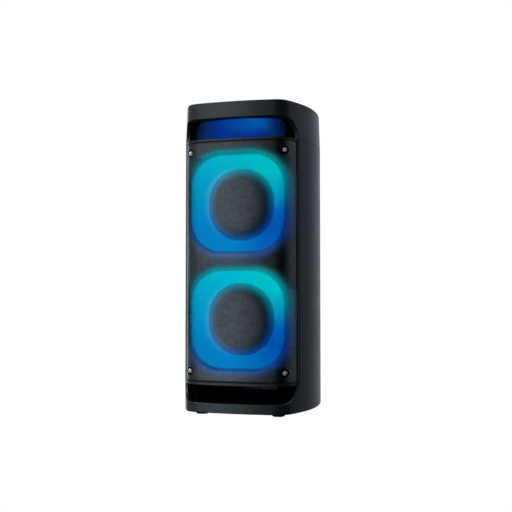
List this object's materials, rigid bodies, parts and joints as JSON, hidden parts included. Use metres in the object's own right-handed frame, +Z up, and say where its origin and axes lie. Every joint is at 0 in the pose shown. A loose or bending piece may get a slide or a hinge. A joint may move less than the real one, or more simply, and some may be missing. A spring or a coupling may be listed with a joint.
{
  "type": "party speaker",
  "caption": "Tall portable party speaker with a wrap-round mesh grille, lit rings over the woofers, a lit top bay, a slot port and rear wheels.",
  "frame": {"origin": "on the floor at the centre of the footprint", "axes": "+Z up, front grille faces -Y, +X to the right as seen from the front"},
  "size_m": [0.317, 0.375, 0.72],
  "materials": {
    "cabinet_plastic": "fine-grained dark grey",
    "cap_plastic": "fine-grained dark grey",
    "bezel_plastic": "satin black",
    "inner_plastic": "matt black",
    "grille_mesh": "woven charcoal mesh",
    "ring_guide": "milky light guide, lit blue to teal",
    "bay_lens": "milky lens, lit blue",
    "circuit_board": "green solder mask",
    "screw_steel": "zinc plated",
    "dark_steel": "black oxide",
    "frame_metal": "black coat on stamped steel",
    "motor_iron": "ferrite between plated steel",
    "cone_paper": "pressed fibre cone",
    "coil_copper": "copper winding on former",
    "surround_rubber": "matt half-roll",
    "spider_cloth": "corrugated resin cloth",
    "baffle_board": "fibreboard, edges raw",
    "tweeter_plastic": "dark faceplate and silk dome",
    "foot_rubber": "matt",
    "wheel_rubber": "tread on a hard hub",
    "panel_gloss": "gloss black",
    "key_rubber": "soft-touch with pale icons",
    "knob_plastic": "fluted grip",
    "cover_rubber": "satin",
    "jack_metal": "nickel-plated nuts and contacts",
    "usb_steel": "folded shell",
    "inlet_plastic": "moulded black",
    "sink_aluminium": "extruded",
    "battery_wrap": "heat-shrunk sleeve",
    "strap_steel": "folded strip",
    "lead_sheath": "two-core lead"
  },
  "bodies": {
    "cabinet": {"cabinet_shell": "cabinet_plastic", "top_cap": "cap_plastic", "handle_cup": "inner_plastic", "base_plate": "inner_plastic", "front_bezel": "bezel_plastic", "front_grille": "grille_mesh", "grille_screw_cups": "inner_plastic", "grille_screws": "screw_steel", "ring_light_guide_upper": "ring_guide", "ring_light_guide_lower": "ring_guide", "ring_led_board_upper": "circuit_board", "ring_led_board_lower": "circuit_board", "speaker_baffle": "baffle_board", "tweeter_left": "tweeter_plastic", "tweeter_right": "tweeter_plastic", "bay_light_diffuser": "bay_lens", "bay_back_wall": "inner_plastic", "bay_led_board": "circuit_board", "port_duct": "inner_plastic", "rubber_feet": "foot_rubber", "cabinet_screws": "dark_steel", "wheel_carrier": "inner_plastic", "wheel_axle": "screw_steel", "axle_caps": "inner_plastic", "control_panel": "panel_gloss", "control_board": "circuit_board", "rear_panel": "inner_plastic", "audio_jacks": "jack_metal", "usb_port": "usb_steel", "ac_inlet": "inlet_plastic", "jack_board": "circuit_board", "amplifier_board": "circuit_board", "heat_sink": "sink_aluminium", "power_board": "circuit_board", "battery_pack": "battery_wrap", "battery_strap": "strap_steel", "speaker_leads": "lead_sheath", "woofer_screws": "dark_steel", "woofer_frame_upper": "frame_metal", "woofer_motor_upper": "motor_iron", "woofer_surround_upper": "surround_rubber", "woofer_spider_upper": "spider_cloth", "woofer_frame_lower": "frame_metal", "woofer_motor_lower": "motor_iron", "woofer_surround_lower": "surround_rubber", "woofer_spider_lower": "spider_cloth"},
    "upper_cone": {"woofer_cone_upper": "cone_paper", "voice_coil_upper": "coil_copper"},
    "lower_cone": {"woofer_cone_lower": "cone_paper", "voice_coil_lower": "coil_copper"},
    "level_knob": {"mic_level_knob": "knob_plastic"},
    "cover": {"port_cover": "cover_rubber"},
    "right_wheel": {"wheel_right": "wheel_rubber"},
    "left_wheel": {"wheel_left": "wheel_rubber"},
    "power_button": {"power_key": "key_rubber"},
    "pairing_button": {"pairing_key": "key_rubber"},
    "volume_down_button": {"volume_down_key": "key_rubber"},
    "volume_up_button": {"volume_up_key": "key_rubber"},
    "play_pause_button": {"play_pause_key": "key_rubber"},
    "light_mode_button": {"light_mode_key": "key_rubber"}
  },
  "joints": [
    {"name": "upper_cone_travel", "type": "slide", "parent": "cabinet", "child": "upper_cone", "axis": [0, -1, 0], "range_m": [-0.005, 0.005], "stiffness_N_per_m": 1500, "deforming": ["woofer_surround_upper", "woofer_spider_upper"]},
    {"name": "lower_cone_travel", "type": "slide", "parent": "cabinet", "child": "lower_cone", "axis": [0, -1, 0], "range_m": [-0.005, 0.005], "stiffness_N_per_m": 1500, "deforming": ["woofer_surround_lower", "woofer_spider_lower"]},
    {"name": "power_press", "type": "slide", "parent": "cabinet", "child": "power_button", "axis": [0, 0, -1], "range_m": [0, 0.00075], "stiffness_N_per_m": 1500, "springref_m": -0.0005},
    {"name": "pairing_press", "type": "slide", "parent": "cabinet", "child": "pairing_button", "axis": [0, 0, -1], "range_m": [0, 0.00075], "stiffness_N_per_m": 1500, "springref_m": -0.0005},
    {"name": "volume_down_press", "type": "slide", "parent": "cabinet", "child": "volume_down_button", "axis": [0, 0, -1], "range_m": [0, 0.00075], "stiffness_N_per_m": 1500, "springref_m": -0.0005},
    {"name": "volume_up_press", "type": "slide", "parent": "cabinet", "child": "volume_up_button", "axis": [0, 0, -1], "range_m": [0, 0.00075], "stiffness_N_per_m": 1500, "springref_m": -0.0005},
    {"name": "play_pause_press", "type": "slide", "parent": "cabinet", "child": "play_pause_button", "axis": [0, 0, -1], "range_m": [0, 0.00075], "stiffness_N_per_m": 1500, "springref_m": -0.0005},
    {"name": "light_mode_press", "type": "slide", "parent": "cabinet", "child": "light_mode_button", "axis": [0, 0, -1], "range_m": [0, 0.00075], "stiffness_N_per_m": 1500, "springref_m": -0.0005},
    {"name": "level_turn", "type": "hinge", "parent": "cabinet", "child": "level_knob", "pos_m": [-0.026, 0.165, 0.172], "axis": [0, 1, 0], "range_deg": [-150, 150]},
    {"name": "cover_hinge", "type": "hinge", "parent": "cabinet", "child": "cover", "pos_m": [-0.057, 0.1846, 0.187], "axis": [0, 0, 1], "range_deg": [0, 110]},
    {"name": "right_wheel_roll", "type": "hinge", "parent": "cabinet", "child": "right_wheel", "pos_m": [0.0955, 0.155, 0.035], "axis": [1, 0, 0], "continuous": true},
    {"name": "left_wheel_roll", "type": "hinge", "parent": "cabinet", "child": "left_wheel", "pos_m": [-0.0955, 0.155, 0.035], "axis": [1, 0, 0], "continuous": true}
  ]
}
